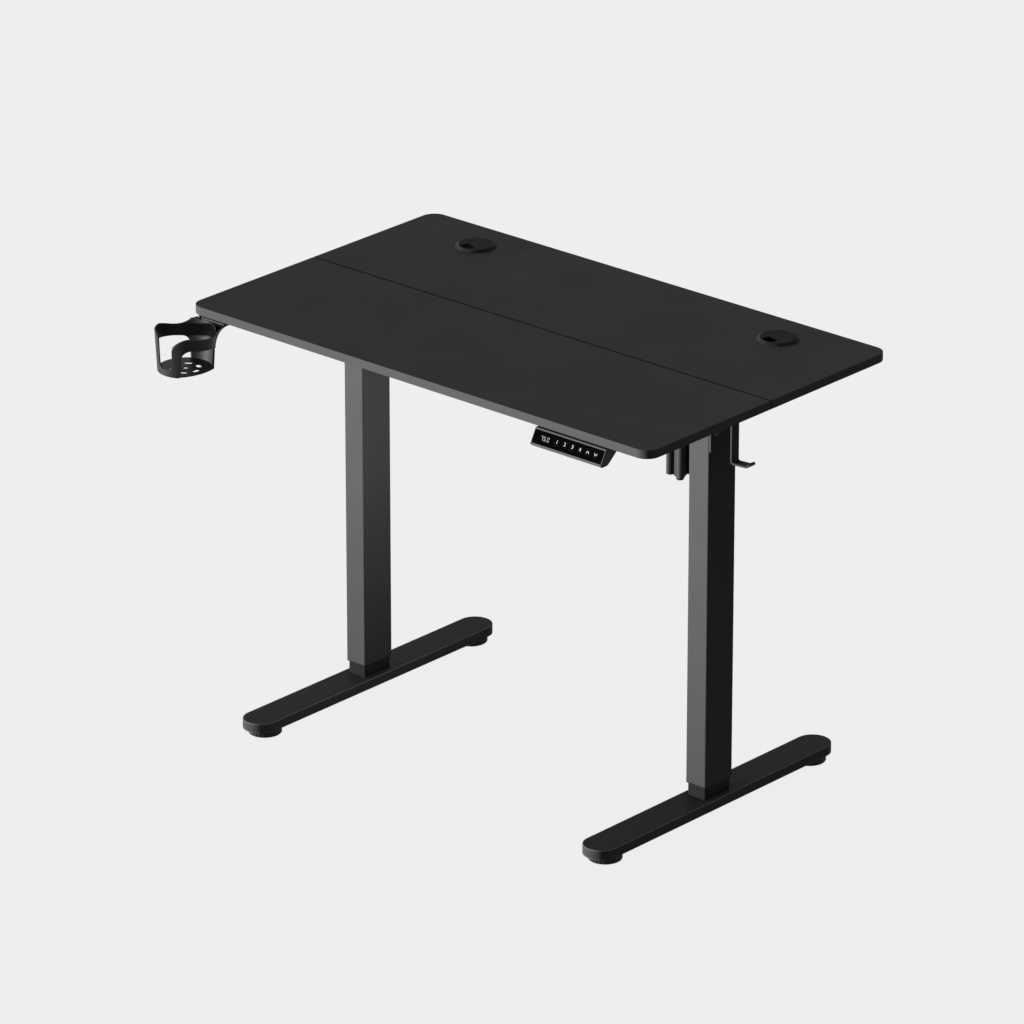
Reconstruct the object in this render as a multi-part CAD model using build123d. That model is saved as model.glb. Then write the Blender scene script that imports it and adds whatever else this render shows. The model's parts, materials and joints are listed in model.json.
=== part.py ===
from build123d import *
import math
import os

# Height adjustable desk in millimetres, columns fully lowered, front towards -Y.
# It is built about the middle of its tabletop, with the floor at z = 0.

# Tabletop in two boards
TOP_WIDTH = 1000.0
TOP_DEPTH = 600.0
TOP_THICKNESS = 15.0
TOP_HEIGHT = 750.0
TOP_CORNER_RADIUS = 25.0
TOP_EDGE_ROUND = 1.0
FRONT_BOARD_SHARE = 0.5
SEAM_GAP = 1.6
DOWEL_DIAMETER = 8.0
DOWEL_LENGTH = 50.0
DOWEL_SPACING = 220.0
DOWEL_COUNT = 4

# Feet and levelling pads
FOOT_LENGTH = 600.0
FOOT_WIDTH = 61.0
FOOT_HEIGHT = 17.0
FOOT_WALL = 2.5
FOOT_ROUND = 1.2
PAD_DIAMETER = 57.0
PAD_HEIGHT = 12.0
PAD_INSET = 40.5
PAD_GAP = 0.3
PAD_EDGE = 1.0
PAD_FLUTES = 24
FLUTE_RADIUS = 2.5
FLUTE_DEPTH = 0.9
STUD_DIAMETER = 8.0
STUD_LENGTH = 13.5
STUD_BOSS_DIAMETER = 18.0

# Telescopic columns
COLUMN_INSET = 121.0
OUTER_TUBE_X = 43.0
OUTER_TUBE_Y = 68.0
TUBE_WALL = 1.5
OUTER_CORNER = 3.0
GLIDE_GAP = 1.2
INNER_CORNER = 2.0
INNER_SHOWN = 22.5
LIFT_TRAVEL = 460.0
BASE_PLATE = 6.0
UPPER_GLIDE_LENGTH = 50.0
LOWER_GLIDE_LENGTH = 50.0
GLIDE_LIP = 1.5

# Lift drive in each column
SHAFT_DROP = 37.0
HEAD_BELOW_SHAFT = 31.0
HEAD_TO_NUT = 7.0
NUT_FLANGE = 6.0
NUT_PLUG = 32.0
SCREW_DIAMETER = 14.0
SCREW_SPARE = 15.0
JOURNAL_DIAMETER = 10.0
BEARING_DIAMETER = 26.0
BEARING_HEIGHT = 9.0
HEX_FLATS = 8.0
GEAR_TEETH = 16
GEAR_MODULE = 1.25
GEAR_FACE = 5.0
GEAR_ADDENDUM = 0.95
GEAR_DEDENDUM = 1.35
GEAR_RIM = 1.6
GEAR_BACKLASH = 0.45
PRESSURE_ANGLE = 20.0
GEAR_HUB_DIAMETER = 13.0
SCREW_GEAR_HUB_END = 17.0
SHAFT_GEAR_HUB_END = 24.0
GEAR_ROOM = 2.2

# Side brackets and rails under the tabletop
BRACKET_LENGTH = 380.0
BRACKET_THICKNESS = 3.0
BRACKET_FLANGE = 22.0
BRACKET_END_CUT = 14.0
TONGUE_DROP = 92.0
TONGUE_ROUND = 6.0
RAIL_WIDTH = 20.0
RAIL_OFFSET = 60.0
RAIL_PLUG = 12.0

# Motor and gearbox beside the right column
MOTOR_FROM_COLUMN = 51.0
MOTOR_FORWARD = 20.0
MOTOR_LENGTH = 86.5
MOTOR_CORE = 24.0
MOTOR_NECK_DIAMETER = 29.0
MOTOR_LOBE_RADIUS = 6.6
MOTOR_LOBE_OFFSET = 11.5
MOTOR_BOSS_DIAMETER = 13.0
MOTOR_BOSS_DROP = 10.5
MOTOR_SHOULDER = 4.5
GEARBOX_LENGTH = 38.0
GEARBOX_DEPTH = 64.0
GEARBOX_HEIGHT = 40.0
GEARBOX_FRONT = 44.0
GEARBOX_CORNER = 14.0
GEARBOX_EDGE = 2.4
GEARBOX_NECK = 6.0
GEARBOX_FLANGE = 4.0
GEARBOX_FLANGE_HEIGHT = 35.0
HUB_DIAMETER = 18.0
HUB_LENGTH = 42.0

# Control box behind the rear rail
BOX_X = 120.0
BOX_BEHIND_RAIL = 15.0
BOX_WIDTH = 160.0
BOX_DEPTH = 90.0
BOX_BASE_HEIGHT = 12.0
BOX_COVER_HEIGHT = 22.0
BOX_WALL = 2.5
BOX_CORNER = 8.0
EAR_LENGTH = 15.0
EAR_WIDTH = 26.0
EAR_THICKNESS = 3.0
PORT_HEIGHT = 9.0
PORT_DEPTH = 10.0
PORT_WIDTHS = (22.0, 14.0, 12.0)
PORT_PLACES = (-26.0, 2.0, 26.0)
CIRCUIT_LENGTH = 130.0
CIRCUIT_THICKNESS = 1.6
CIRCUIT_POST = 8.0
POST_DIAMETER = 6.0

# Handset under the front edge
HANDSET_INSET = 159.0
HANDSET_WIDTH = 148.0
HANDSET_HEIGHT = 29.2
HANDSET_BACK = 35.0
HANDSET_LIP = 4.0
HANDSET_LIP_DROP = 1.5
HANDSET_SHADOW_GAP = 1.0
HANDSET_SHADOW_DEPTH = 6.0
FACE_RUN = 13.5
FACE_DROP = 24.5
TOE_RUN = 4.0
BELLY_ROUND = 12.0
PANEL_EDGE = 1.2
PANEL_TOP_LIP = 2.0
PANEL_LIP = 3.2
PANEL_THICKNESS = 2.0
POCKET_HEIGHT = 16.0
POCKET_DEPTH = 4.5
POCKET_EDGE = 6.0
KEY_COUNT = 6
KEY_SIZE = 12.0
KEY_FIRST = 50.5
KEY_PITCH = 16.1
KEY_RISE = 1.6
KEY_GAP = 0.3
KEY_RIM = 1.0
DISPLAY_X = 25.5
DISPLAY_WIDTH = 28.0
DISPLAY_HEIGHT = 13.0
DISPLAY_DEPTH = 3.5

# Cable grommets in the rear board
GROMMET_INSET = 169.0
GROMMET_BACK_INSET = 79.5
GROMMET_FLANGE_DIAMETER = 70.0
GROMMET_SLEEVE_DIAMETER = 60.0
GROMMET_SLEEVE_DEPTH = 22.0
GROMMET_RISE = 4.0
GROMMET_EDGE = 1.2
GROMMET_BEVEL = 5.2
CAP_SEAT_DIAMETER = 57.0
CAP_SEAT_DEPTH = 2.8
GROMMET_BORE_DIAMETER = 52.0
CAP_SKIRT_DEPTH = 6.0
CAP_WALL = 2.0
NOTCH_WIDTH = 24.0
NOTCH_DEPTH = 19.0
NOTCH_DIRECTION = 262.0

# Hook under the right end
HOOK_INSET = 53.0
HOOK_Y = -26.0
HOOK_WIDTH = 18.0
HOOK_THICKNESS = 3.0
HOOK_TAB = 37.0
HOOK_DROP = 97.0
HOOK_ARM = 33.5
HOOK_ARM_RISE = 2.0
HOOK_TIP = 3.5
HOOK_TIP_RISE = 6.5
HOOK_TIP_ROUND = 5.0
HOOK_BEND = 5.0

# Cup holder under the front edge
CUP_INSET = 40.0
CUP_REACH = 52.0
CUP_RIM_DIAMETER = 101.0
CUP_BASE_DIAMETER = 94.0
CUP_HEIGHT = 71.0
CUP_RIM_DROP = 3.5
CUP_WALL = 2.5
CUP_FLOOR = 2.0
CUP_SLOTS = 6
CUP_SLOT_FIRST = 3.0
CUP_SLOT_LENGTH = 15.0
CUP_SLOT_WIDTH = 9.0
CUP_SLOT_RADIUS = 22.5
CUP_DRAIN = 9.0
CUP_GAP_WIDTH = 30.0
CUP_SHOULDER = 9.0
CUP_FLANGE_LEFT = 18.0
CUP_FLANGE_RIGHT = 43.5
CUP_FLANGE_BACK = 45.0
CUP_FLANGE_THICKNESS = 4.0
CUP_NECK_WIDTH = 33.0
CUP_NECK_DROP = 45.0
CUP_NECK_HOLLOW = 6.5
CUP_NECK_DEPTH = 10.0
CUP_EAR_DIRECTION = 117.0
CUP_EAR_WIDTH = 17.0

# Fasteners
BOLT_DIAMETER = 6.0
BOLT_LENGTH = 14.0
BOLT_HEAD_DIAMETER = 10.5
BOLT_HEAD_HEIGHT = 2.4
BOLT_SOCKET = 4.0
BOLT_SOCKET_DEPTH = 1.6
FOOT_BOLT_HEAD_HEIGHT = 4.0
SCREW_SHANK_DIAMETER = 4.0
SCREW_SHANK_LENGTH = 14.0
SCREW_HEAD_DIAMETER = 9.0
SCREW_HEAD_HEIGHT = 3.0
SCREW_CROSS_LENGTH = 5.0
SCREW_CROSS_WIDTH = 1.2
SCREW_CROSS_DEPTH = 1.5

# Clearances
RUNNING = 0.05
SLIDING = 0.1
BOLT_ROOM = 0.3
MOVING = 0.3
CUT = 1.0

# Heights above the floor that several pieces share
UNDERSIDE = TOP_HEIGHT - TOP_THICKNESS
FOOT_BOTTOM = PAD_HEIGHT + PAD_GAP
FOOT_TOP = FOOT_BOTTOM + FOOT_HEIGHT
OUTER_BOTTOM = FOOT_TOP + INNER_SHOWN + GLIDE_LIP
HEAD_TOP = UNDERSIDE - BRACKET_THICKNESS
SHAFT_Z = UNDERSIDE - SHAFT_DROP
HEAD_BOTTOM = SHAFT_Z - HEAD_BELOW_SHAFT
NUT_TOP = HEAD_BOTTOM - HEAD_TO_NUT
NUT_SEAT = NUT_TOP - NUT_FLANGE
INNER_TOP = NUT_SEAT - GLIDE_LIP
SCREW_BOTTOM = NUT_SEAT - NUT_PLUG - LIFT_TRAVEL - SCREW_SPARE
FLANGE_BOTTOM = UNDERSIDE - BRACKET_FLANGE

# Plan sizes and places that several pieces share
COLUMN_X = TOP_WIDTH / 2 - COLUMN_INSET
BORE_X = OUTER_TUBE_X - 2 * TUBE_WALL
BORE_Y = OUTER_TUBE_Y - 2 * TUBE_WALL
BORE_CORNER = OUTER_CORNER - TUBE_WALL
INNER_X = BORE_X - 2 * GLIDE_GAP
INNER_Y = BORE_Y - 2 * GLIDE_GAP
INNER_BORE_X = INNER_X - 2 * TUBE_WALL
INNER_BORE_Y = INNER_Y - 2 * TUBE_WALL
INNER_BORE_CORNER = INNER_CORNER - TUBE_WALL
PAD_Y = FOOT_LENGTH / 2 - PAD_INSET
FRONT_EDGE = -TOP_DEPTH / 2
SEAM_Y = FRONT_EDGE + FRONT_BOARD_SHARE * TOP_DEPTH
HANDSET_X = TOP_WIDTH / 2 - HANDSET_INSET
GROMMET_X = TOP_WIDTH / 2 - GROMMET_INSET
GROMMET_Y = TOP_DEPTH / 2 - GROMMET_BACK_INSET
HOOK_X = TOP_WIDTH / 2 - HOOK_INSET
CUP_X = CUP_INSET - TOP_WIDTH / 2
CUP_Y = FRONT_EDGE - CUP_REACH
BOX_Y = RAIL_OFFSET + RAIL_WIDTH / 2 + BOX_BEHIND_RAIL + BOX_DEPTH / 2
TUBE_FACE = OUTER_TUBE_X / 2
MOTOR_X = COLUMN_X - MOTOR_FROM_COLUMN
GEAR_RADIUS = GEAR_MODULE * GEAR_TEETH / 2
GEAR_CONE = GEAR_RADIUS * math.sqrt(2)
GEAR_TOE = 1 - GEAR_FACE / GEAR_CONE
SHAFT_END = GEAR_TOE * GEAR_RADIUS + CUT
CUP_RIM = UNDERSIDE - CUP_RIM_DROP
CUP_BASE = CUP_RIM - CUP_HEIGHT
BOX_SPLIT = UNDERSIDE - BOX_BASE_HEIGHT
BOX_BOTTOM = BOX_SPLIT - BOX_COVER_HEIGHT

# Where fasteners sit
FOOT_BOLT_PLACES = [(x, y) for x in (-INNER_BORE_X / 3, INNER_BORE_X / 3) for y in (-22.0, 22.0)]
TONGUE_BOLT_PLACES = [(y, z) for y in (-22.0, 22.0) for z in (HEAD_BOTTOM + 9.0, HEAD_TOP - 12.0)]
GEARBOX_BOLT_PLACES = [(26.0, SHAFT_Z - 13.0), (26.0, SHAFT_Z + 8.0)]
RAIL_BOLT_Z = UNDERSIDE - BRACKET_FLANGE / 2
BRACKET_SCREW_END = BRACKET_LENGTH / 2 - 25.0
BRACKET_SCREW_Y = (-BRACKET_SCREW_END, -95.0, 95.0, BRACKET_SCREW_END)
HANDSET_SCREW_X = (-55.0, 55.0)
HANDSET_SCREW_Y = FRONT_EDGE + 17.0
HANDSET_SEAT = 4.0
HOOK_SCREW_X = (9.0, 24.0)
CUP_SCREW_INSET = 11.0
CUP_SCREW_X = (CUP_SCREW_INSET - CUP_FLANGE_LEFT, CUP_FLANGE_RIGHT - CUP_SCREW_INSET)
CUP_SCREW_BACK = 27.0

UP = (Align.CENTER, Align.CENTER, Align.MIN)


def prism(width, depth, bottom, top, corner):
    """Upright bar on the Z axis with rounded vertical corners."""
    return Pos(0, 0, bottom) * extrude(RectangleRounded(width, depth, corner), top - bottom)


def rod(diameter, bottom, top):
    """Upright round bar on the Z axis."""
    return Pos(0, 0, bottom) * Cylinder(diameter / 2, top - bottom, align=UP)


def bar_x(diameter, start, end):
    """Round bar along the X axis."""
    return Pos(start, 0, 0) * Rot(0, 90, 0) * Cylinder(diameter / 2, end - start, align=UP)


def hex_x(flats, start, end):
    """Hexagonal bar along the X axis."""
    section = RegularPolygon(flats / 2, 6, major_radius=False)
    return Pos(start, 0, 0) * Rot(0, 90, 0) * extrude(section, end - start)


def polygon(points):
    """Flat face through points given in its own plane."""
    return make_face(Polyline(*points, close=True))


def group(solids):
    """Separate solids kept in one node."""
    return Compound([solid for piece in solids for solid in piece.solids()])


# Tabletop


def wood_screw_places():
    """Every screw into the tabletop: its x, y and the height that its head bears on."""
    places = []
    for side in (-1, 1):
        for y in BRACKET_SCREW_Y:
            places.append((side * COLUMN_X, y, HEAD_TOP))
    return places


def accessory_screw_places():
    """Screws of the handset, hook, cup holder and control box."""
    places = [(HANDSET_X + x, HANDSET_SCREW_Y, UNDERSIDE - HANDSET_SEAT) for x in HANDSET_SCREW_X]
    places += [(HOOK_X - HOOK_TAB + x, HOOK_Y, UNDERSIDE - HOOK_THICKNESS) for x in HOOK_SCREW_X]
    cup_seat = UNDERSIDE - CUP_FLANGE_THICKNESS
    places += [(CUP_X + x, FRONT_EDGE + CUP_SCREW_BACK, cup_seat) for x in CUP_SCREW_X]
    ear_reach = BOX_WIDTH / 2 + EAR_LENGTH / 2
    places += [(BOX_X + side * ear_reach, BOX_Y, UNDERSIDE - EAR_THICKNESS) for side in (-1, 1)]
    return places


def wood_screw():
    """Pan-head screw that points up, with its head's bearing face at z = 0."""
    head = rod(SCREW_HEAD_DIAMETER, -SCREW_HEAD_HEIGHT, 0)
    head = fillet(head.edges().group_by(Axis.Z)[0], SCREW_HEAD_HEIGHT / 2)
    for turn in (0, 90):
        blade = Rot(0, 0, turn) * Box(SCREW_CROSS_LENGTH, SCREW_CROSS_WIDTH, 2 * SCREW_CROSS_DEPTH)
        head -= Pos(0, 0, -SCREW_HEAD_HEIGHT) * blade
    return head + rod(SCREW_SHANK_DIAMETER, 0, SCREW_SHANK_LENGTH)


def wood_screws(places):
    return group(Pos(*place) * wood_screw() for place in places)


def dowel_places():
    first = -DOWEL_SPACING * (DOWEL_COUNT - 1) / 2
    return [(first + n * DOWEL_SPACING, SEAM_Y, UNDERSIDE + TOP_THICKNESS / 2) for n in range(DOWEL_COUNT)]


def dowel(diameter, length):
    return Rot(90, 0, 0) * Cylinder(diameter / 2, length)


def seam_dowels():
    return group(Pos(*place) * dowel(DOWEL_DIAMETER, DOWEL_LENGTH) for place in dowel_places())


def board(front, back):
    """One board of the tabletop, between two lines across it."""
    outline = RectangleRounded(TOP_WIDTH, TOP_DEPTH, TOP_CORNER_RADIUS)
    strip = Pos(0, (front + back) / 2, 0) * Rectangle(TOP_WIDTH, back - front)
    slab = Pos(0, 0, UNDERSIDE) * extrude(outline & strip, TOP_THICKNESS)
    levels = slab.edges().group_by(Axis.Z)
    slab = fillet(levels[0] + levels[-1], TOP_EDGE_ROUND)
    for place in dowel_places():
        slab -= Pos(*place) * dowel(DOWEL_DIAMETER + 2 * RUNNING, DOWEL_LENGTH + CUT)
    pilot = SCREW_SHANK_DIAMETER + 2 * RUNNING
    for x, y, seat in wood_screw_places() + accessory_screw_places():
        if front < y < back:
            slab -= Pos(x, y, 0) * rod(pilot, UNDERSIDE - CUT, seat + SCREW_SHANK_LENGTH + BOLT_ROOM)
    return slab


def front_board():
    return board(FRONT_EDGE, SEAM_Y - SEAM_GAP / 2)


def rear_board():
    slab = board(SEAM_Y + SEAM_GAP / 2, TOP_DEPTH / 2)
    for side in (-1, 1):
        hole = rod(GROMMET_SLEEVE_DIAMETER + 2 * SLIDING, UNDERSIDE - CUT, TOP_HEIGHT + CUT)
        slab -= Pos(side * GROMMET_X, GROMMET_Y, 0) * hole
    return slab


# Cable grommets, drawn with the tabletop's top face at z = 0


def grommet_ring():
    """Bevelled flange on the board and a sleeve through it, with a seat for the cap."""
    flange = GROMMET_FLANGE_DIAMETER / 2
    sleeve = GROMMET_SLEEVE_DIAMETER / 2
    bore = GROMMET_BORE_DIAMETER / 2
    seat = CAP_SEAT_DIAMETER / 2
    seat_z = GROMMET_RISE - CAP_SEAT_DEPTH
    section = polygon([
        (bore, -GROMMET_SLEEVE_DEPTH),
        (sleeve, -GROMMET_SLEEVE_DEPTH),
        (sleeve, 0),
        (flange, 0),
        (flange, GROMMET_EDGE),
        (flange - GROMMET_BEVEL, GROMMET_RISE),
        (seat, GROMMET_RISE),
        (seat, seat_z),
        (bore, seat_z),
    ])
    return revolve(Plane.XZ * section, Axis.Z)


def grommet_cap():
    """Turning cap with a skirt in the sleeve and a notch for cables."""
    disc = CAP_SEAT_DIAMETER - 2 * MOVING
    skirt = GROMMET_BORE_DIAMETER - 2 * RUNNING
    bottom = GROMMET_RISE - CAP_SEAT_DEPTH + MOVING
    skirt_end = bottom - CAP_SKIRT_DEPTH
    cap = rod(disc, bottom, GROMMET_RISE)
    cap += rod(skirt, skirt_end, bottom) - rod(skirt - 2 * CAP_WALL, skirt_end, bottom)
    mouth = Rectangle(2 * NOTCH_DEPTH, NOTCH_WIDTH, align=(Align.MIN, Align.CENTER))
    mouth = fillet(mouth.vertices().group_by(Axis.X)[0], NOTCH_WIDTH / 4)
    mouth = Pos(disc / 2 - NOTCH_DEPTH, 0, -GROMMET_SLEEVE_DEPTH) * mouth
    notch = extrude(mouth, 2 * GROMMET_SLEEVE_DEPTH)
    cap -= notch
    return Rot(0, 0, NOTCH_DIRECTION) * cap


# Feet and levelling pads, drawn for the right side


def foot():
    """Pressed steel bar, open below, with two bosses for the levelling studs."""
    slot = Rot(0, 0, 90) * SlotOverall(FOOT_LENGTH, FOOT_WIDTH)
    inner_slot = Rot(0, 0, 90) * SlotOverall(FOOT_LENGTH - 2 * FOOT_WALL, FOOT_WIDTH - 2 * FOOT_WALL)
    bar = extrude(slot, FOOT_HEIGHT)
    bar = fillet(bar.edges().group_by(Axis.Z)[-1], FOOT_ROUND)
    room = FOOT_HEIGHT - FOOT_WALL
    bar -= extrude(inner_slot, room)
    for end in (-1, 1):
        boss = rod(STUD_BOSS_DIAMETER, 0, room) - rod(STUD_DIAMETER + 2 * RUNNING, 0, STUD_LENGTH + MOVING)
        bar += Pos(0, end * PAD_Y, 0) * boss
    for x, y in FOOT_BOLT_PLACES:
        bar -= Pos(x, y, 0) * rod(BOLT_DIAMETER + 2 * BOLT_ROOM, 0, FOOT_HEIGHT + CUT)
    return Pos(COLUMN_X, 0, FOOT_BOTTOM) * bar


def leveller(end):
    """Round pad with a fluted edge on a threaded stud; end is -1 in front and 1 behind."""
    pad = chamfer(Cylinder(PAD_DIAMETER / 2, PAD_HEIGHT, align=UP).edges(), PAD_EDGE)
    flute = rod(2 * FLUTE_RADIUS, -CUT, PAD_HEIGHT + CUT)
    reach = PAD_DIAMETER / 2 + FLUTE_RADIUS - FLUTE_DEPTH
    pad -= [place * flute for place in PolarLocations(reach, PAD_FLUTES)]
    pad += rod(STUD_DIAMETER, PAD_HEIGHT, PAD_HEIGHT + STUD_LENGTH)
    return Pos(COLUMN_X, end * PAD_Y, 0) * pad


def foot_bolts():
    """Bolts up through the foot into the inner tube's base plate."""
    seat = FOOT_TOP - FOOT_WALL
    head_end = seat - FOOT_BOLT_HEAD_HEIGHT
    socket = RegularPolygon(BOLT_SOCKET / 2, 6, major_radius=False)
    bolt = rod(BOLT_HEAD_DIAMETER, head_end, seat)
    bolt -= Pos(0, 0, head_end) * extrude(socket, BOLT_SOCKET_DEPTH)
    bolt += rod(BOLT_DIAMETER, seat, FOOT_TOP + BASE_PLATE)
    return group(Pos(COLUMN_X + x, y, 0) * bolt for x, y in FOOT_BOLT_PLACES)


# Columns, drawn for the right side


def inner_tube():
    """Lower tube with its base plate."""
    tube = prism(INNER_X, INNER_Y, FOOT_TOP, INNER_TOP, INNER_CORNER)
    tube -= prism(INNER_BORE_X, INNER_BORE_Y, FOOT_TOP + BASE_PLATE, INNER_TOP + CUT, INNER_BORE_CORNER)
    for x, y in FOOT_BOLT_PLACES:
        tube -= Pos(x, y, 0) * rod(BOLT_DIAMETER + 2 * RUNNING, FOOT_TOP - CUT, FOOT_TOP + BASE_PLATE + CUT)
    return Pos(COLUMN_X, 0, 0) * tube


def upper_glide():
    """Plastic sleeve round the inner tube's top, with a lip over its end."""
    bottom = INNER_TOP - UPPER_GLIDE_LENGTH
    sleeve = prism(BORE_X - 2 * SLIDING, BORE_Y - 2 * SLIDING, bottom, NUT_SEAT, BORE_CORNER)
    sleeve -= prism(INNER_X, INNER_Y, bottom - CUT, INNER_TOP, INNER_CORNER)
    sleeve -= prism(INNER_BORE_X, INNER_BORE_Y, bottom, NUT_SEAT + CUT, INNER_BORE_CORNER)
    return Pos(COLUMN_X, 0, 0) * sleeve


def lead_nut():
    """Flanged nut plugged into the inner tube's top."""
    nut = prism(INNER_X, INNER_Y, NUT_SEAT, NUT_TOP, INNER_CORNER)
    plug_x = INNER_BORE_X - 2 * SLIDING
    plug_y = INNER_BORE_Y - 2 * SLIDING
    nut += prism(plug_x, plug_y, NUT_SEAT - NUT_PLUG, NUT_SEAT, INNER_BORE_CORNER)
    nut -= rod(SCREW_DIAMETER + 2 * RUNNING, NUT_SEAT - NUT_PLUG - CUT, NUT_TOP + CUT)
    return Pos(COLUMN_X, 0, 0) * nut


def bolt_hole_x(start, end, room):
    return bar_x(BOLT_DIAMETER + 2 * room, start, end)


def outer_tube():
    """Upper tube with holes for the shaft, the bracket's bolts and the gearbox's bolts."""
    tube = prism(OUTER_TUBE_X, OUTER_TUBE_Y, OUTER_BOTTOM, HEAD_TOP, OUTER_CORNER)
    tube -= prism(BORE_X, BORE_Y, OUTER_BOTTOM - CUT, HEAD_TOP + CUT, BORE_CORNER)
    tube -= Pos(0, 0, SHAFT_Z) * bar_x(GEAR_HUB_DIAMETER + 2 * MOVING, -OUTER_TUBE_X, 0)
    for y, z in TONGUE_BOLT_PLACES:
        tube -= Pos(0, y, z) * bolt_hole_x(0, OUTER_TUBE_X, BOLT_ROOM)
    for y, z in GEARBOX_BOLT_PLACES:
        tube -= Pos(0, y, z) * bolt_hole_x(-OUTER_TUBE_X, 0, BOLT_ROOM)
    return Pos(COLUMN_X, 0, 0) * tube


def lower_glide():
    """Plastic sleeve in the outer tube's mouth, with a lip under its end."""
    bottom = OUTER_BOTTOM - GLIDE_LIP
    sleeve = prism(OUTER_TUBE_X, OUTER_TUBE_Y, bottom, OUTER_BOTTOM, OUTER_CORNER)
    sleeve += prism(BORE_X, BORE_Y, OUTER_BOTTOM, OUTER_BOTTOM + LOWER_GLIDE_LENGTH, BORE_CORNER)
    room_x = INNER_X + 2 * SLIDING
    room_y = INNER_Y + 2 * SLIDING
    sleeve -= prism(room_x, room_y, bottom - CUT, OUTER_BOTTOM + LOWER_GLIDE_LENGTH + CUT, INNER_CORNER)
    return Pos(COLUMN_X, 0, 0) * sleeve


def gear_head():
    """Cast block in the column's top that holds the bevel gears and the screw's bearing."""
    block = prism(BORE_X - 2 * SLIDING, BORE_Y - 2 * SLIDING, HEAD_BOTTOM, HEAD_TOP, BORE_CORNER)
    room = GEAR_RADIUS + GEAR_ADDENDUM + GEAR_ROOM
    floor = SHAFT_Z - SCREW_GEAR_HUB_END - CUT
    block -= rod(2 * room, floor, SHAFT_Z + room)
    hub_room = GEAR_RADIUS + GEAR_DEDENDUM + GEAR_RIM + GEAR_ROOM
    block -= Pos(0, 0, SHAFT_Z) * bar_x(2 * room, -hub_room, 0)
    block -= Pos(0, 0, SHAFT_Z) * bar_x(GEAR_HUB_DIAMETER + 2 * RUNNING, -OUTER_TUBE_X, 0)
    block -= rod(BEARING_DIAMETER, HEAD_BOTTOM - CUT, HEAD_BOTTOM + BEARING_HEIGHT)
    block -= rod(JOURNAL_DIAMETER + 2 * MOVING, HEAD_BOTTOM, SHAFT_Z)
    tongue_bolt_end = TUBE_FACE + BRACKET_THICKNESS - BOLT_LENGTH
    for y, z in TONGUE_BOLT_PLACES:
        block -= Pos(0, y, z) * bolt_hole_x(tongue_bolt_end, OUTER_TUBE_X, RUNNING)
    gearbox_bolt_end = BOLT_LENGTH - TUBE_FACE - GEARBOX_FLANGE
    for y, z in GEARBOX_BOLT_PLACES:
        block -= Pos(0, y, z) * bolt_hole_x(-OUTER_TUBE_X, gearbox_bolt_end, RUNNING)
    return Pos(COLUMN_X, 0, 0) * block


# Lift drive, drawn for the right side


def lead_screw():
    """Screw with a journal for its bearing and gear; the thread isn't drawn."""
    screw = rod(SCREW_DIAMETER, SCREW_BOTTOM, HEAD_BOTTOM - MOVING)
    screw += rod(JOURNAL_DIAMETER, HEAD_BOTTOM - MOVING, SHAFT_Z - SHAFT_END)
    screw = chamfer(screw.edges().group_by(Axis.Z)[0], CUT)
    return Pos(COLUMN_X, 0, 0) * screw


def screw_bearing():
    ring = rod(BEARING_DIAMETER, HEAD_BOTTOM, HEAD_BOTTOM + BEARING_HEIGHT)
    ring -= rod(JOURNAL_DIAMETER + 2 * RUNNING, HEAD_BOTTOM - CUT, HEAD_BOTTOM + BEARING_HEIGHT + CUT)
    return Pos(COLUMN_X, 0, 0) * ring


def on_cone(scale, across, height):
    """Point of a tooth gap: across the pitch line and above it, at a share of the cone's length."""
    rise = height / math.sqrt(2)
    return (scale * (GEAR_RADIUS + rise), scale * across, scale * (rise - GEAR_RADIUS))


def tooth_gap():
    """Tapered wedge between two teeth, at angle 0."""
    slope = math.tan(math.radians(PRESSURE_ANGLE))
    half = math.pi * GEAR_MODULE / 4 + GEAR_BACKLASH / 2
    top = GEAR_ADDENDUM + CUT
    outline = [
        (-half - top * slope, top),
        (half + top * slope, top),
        (half - GEAR_DEDENDUM * slope, -GEAR_DEDENDUM),
        (GEAR_DEDENDUM * slope - half, -GEAR_DEDENDUM),
    ]
    ends = []
    for scale in (GEAR_TOE * 0.8, 1.2):
        corners = [on_cone(scale, across, height) for across, height in outline]
        ends.append(make_face(Polyline(*corners, close=True)))
    return loft(ends, ruled=True)


def bevel_gear(hub_end):
    """Mitre gear below its cone's tip, which is the origin, on the Z axis."""
    toe_tip = on_cone(GEAR_TOE, 0, GEAR_ADDENDUM)
    toe_root = on_cone(GEAR_TOE, 0, -GEAR_DEDENDUM)
    heel_tip = on_cone(1, 0, GEAR_ADDENDUM)
    heel_back = on_cone(1, 0, -GEAR_DEDENDUM - GEAR_RIM)
    hub = GEAR_HUB_DIAMETER / 2
    section = polygon([
        (0, toe_root[2]),
        (toe_root[0], toe_root[2]),
        (toe_tip[0], toe_tip[2]),
        (heel_tip[0], heel_tip[2]),
        (heel_back[0], heel_back[2]),
        (hub, heel_back[2]),
        (hub, -hub_end),
        (0, -hub_end),
    ])
    gear = revolve(Plane.XZ * section, Axis.Z)
    gear -= [place * tooth_gap() for place in PolarLocations(0, GEAR_TEETH)]
    return gear


def screw_gear():
    gear = bevel_gear(SCREW_GEAR_HUB_END) - rod(JOURNAL_DIAMETER, -2 * SCREW_GEAR_HUB_END, 0)
    return Pos(COLUMN_X, 0, SHAFT_Z) * gear


def shaft_gear():
    """Gear on the shaft, turned half a tooth so that it meshes with the screw's gear."""
    half_tooth = 180 / GEAR_TEETH
    gear = Rot(0, 90, 0) * Rot(0, 0, half_tooth) * bevel_gear(SHAFT_GEAR_HUB_END)
    gear -= hex_x(HEX_FLATS, -2 * SHAFT_GEAR_HUB_END, 0)
    return Pos(COLUMN_X, 0, SHAFT_Z) * gear


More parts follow.
